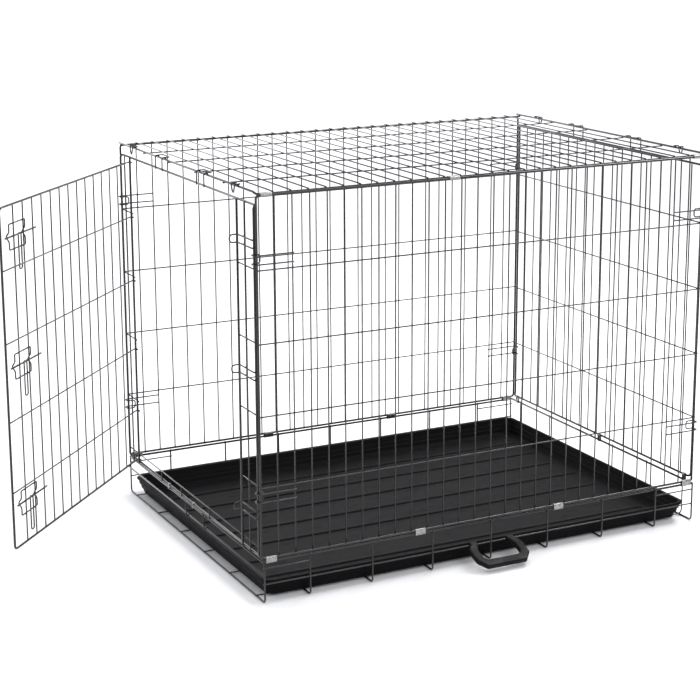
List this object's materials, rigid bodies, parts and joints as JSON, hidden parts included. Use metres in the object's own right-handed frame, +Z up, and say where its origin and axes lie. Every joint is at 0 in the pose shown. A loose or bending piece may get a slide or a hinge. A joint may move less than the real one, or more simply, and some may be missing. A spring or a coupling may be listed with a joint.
{
  "type": "wire dog crate",
  "caption": "Folding welded-wire dog crate with a side-hinged end door on slide bolts, a lift-up lid, a fold-in end, a wire floor frame, a pull-out plastic tray and a carry handle.",
  "frame": {"origin": "the flat underside of the middle floor hoop, on the floor at the centre of the crate", "axes": "+X to the right along the long side, so the door end is at -X; +Y to the back; +Z up"},
  "size_m": [1.5093, 0.8517, 0.8464],
  "materials": {
    "black_wire": "gloss black electro-coat",
    "zinc_clip": "bright zinc plate",
    "tray_plastic": "satin black, fine moulded grain",
    "handle_plastic": "satin black"
  },
  "bodies": {
    "crate": {"floor_frame": "black_wire", "front_panel": "black_wire", "back_panel": "black_wire", "left_end_frame": "black_wire", "bolt_keeper_1": "black_wire", "bolt_keeper_2": "black_wire", "bolt_keeper_3": "black_wire", "floor_clip_back_1": "zinc_clip", "floor_clip_back_2": "zinc_clip", "floor_clip_back_3": "zinc_clip", "floor_clip_back_4": "zinc_clip", "floor_clip_front_1": "zinc_clip", "floor_clip_front_2": "zinc_clip", "floor_clip_front_3": "zinc_clip", "floor_clip_front_4": "zinc_clip", "floor_clip_left_1": "zinc_clip", "floor_clip_left_2": "zinc_clip", "floor_clip_right_1": "zinc_clip", "floor_clip_right_2": "zinc_clip", "floor_clip_right_3": "zinc_clip", "side_hook_back_left_lower": "black_wire", "side_hook_back_left_upper": "black_wire", "side_hook_back_right_lower": "black_wire", "side_hook_back_right_upper": "black_wire", "side_hook_front_left_lower": "black_wire", "side_hook_front_left_upper": "black_wire", "side_hook_front_right_lower": "black_wire", "side_hook_front_right_upper": "black_wire"},
    "lid": {"top_panel": "black_wire", "corner_catch_left_1": "black_wire", "corner_catch_left_2": "black_wire", "corner_catch_right_1": "black_wire", "corner_catch_right_2": "black_wire", "lid_clip_1": "zinc_clip", "lid_clip_2": "zinc_clip", "lid_clip_3": "zinc_clip", "top_hook_left_1": "black_wire", "top_hook_left_2": "black_wire", "top_hook_right_1": "black_wire", "top_hook_right_2": "black_wire"},
    "right_end": {"right_end_panel": "black_wire"},
    "door": {"door_panel": "black_wire", "bolt_guide_1": "black_wire", "bolt_guide_2": "black_wire", "bolt_guide_3": "black_wire"},
    "bolt_low": {"slide_bolt_1": "black_wire"},
    "bolt_middle": {"slide_bolt_2": "black_wire"},
    "bolt_high": {"slide_bolt_3": "black_wire"},
    "tray": {"tray": "tray_plastic"},
    "stop": {"tray_stop": "black_wire"},
    "handle": {"carry_handle": "handle_plastic"}
  },
  "joints": [
    {"name": "door_swing", "type": "hinge", "parent": "crate", "child": "door", "pos_m": [-0.536, 0.314, 0.45], "axis": [0, 0, -1], "range_deg": [-44, 90]},
    {"name": "bolt_low_slide", "type": "slide", "parent": "door", "child": "bolt_low", "axis": [-0.6947, -0.7193, 0], "range_m": [0, 0.044]},
    {"name": "bolt_middle_slide", "type": "slide", "parent": "door", "child": "bolt_middle", "axis": [-0.6947, -0.7193, 0], "range_m": [0, 0.044]},
    {"name": "bolt_high_slide", "type": "slide", "parent": "door", "child": "bolt_high", "axis": [-0.6947, -0.7193, 0], "range_m": [0, 0.044]},
    {"name": "lid_lift", "type": "hinge", "parent": "crate", "child": "lid", "pos_m": [0, -0.386, 0.835], "axis": [1, 0, 0], "range_deg": [0, 100]},
    {"name": "right_end_fold", "type": "hinge", "parent": "crate", "child": "right_end", "pos_m": [0.5315, 0, 0.101], "axis": [0, -1, 0], "range_deg": [0, 90]},
    {"name": "tray_slide", "type": "slide", "parent": "crate", "child": "tray", "axis": [-1, 0, 0], "range_m": [0, 0.9]},
    {"name": "tray_stop_swing", "type": "hinge", "parent": "crate", "child": "stop", "pos_m": [-0.53341, -0.034, 0.062], "axis": [0, 1, 0], "range_deg": [-180, 0]},
    {"name": "handle_swing", "type": "hinge", "parent": "crate", "child": "handle", "pos_m": [0.003, -0.387, 0.04], "axis": [-1, 0, 0], "range_deg": [0, 95]}
  ]
}
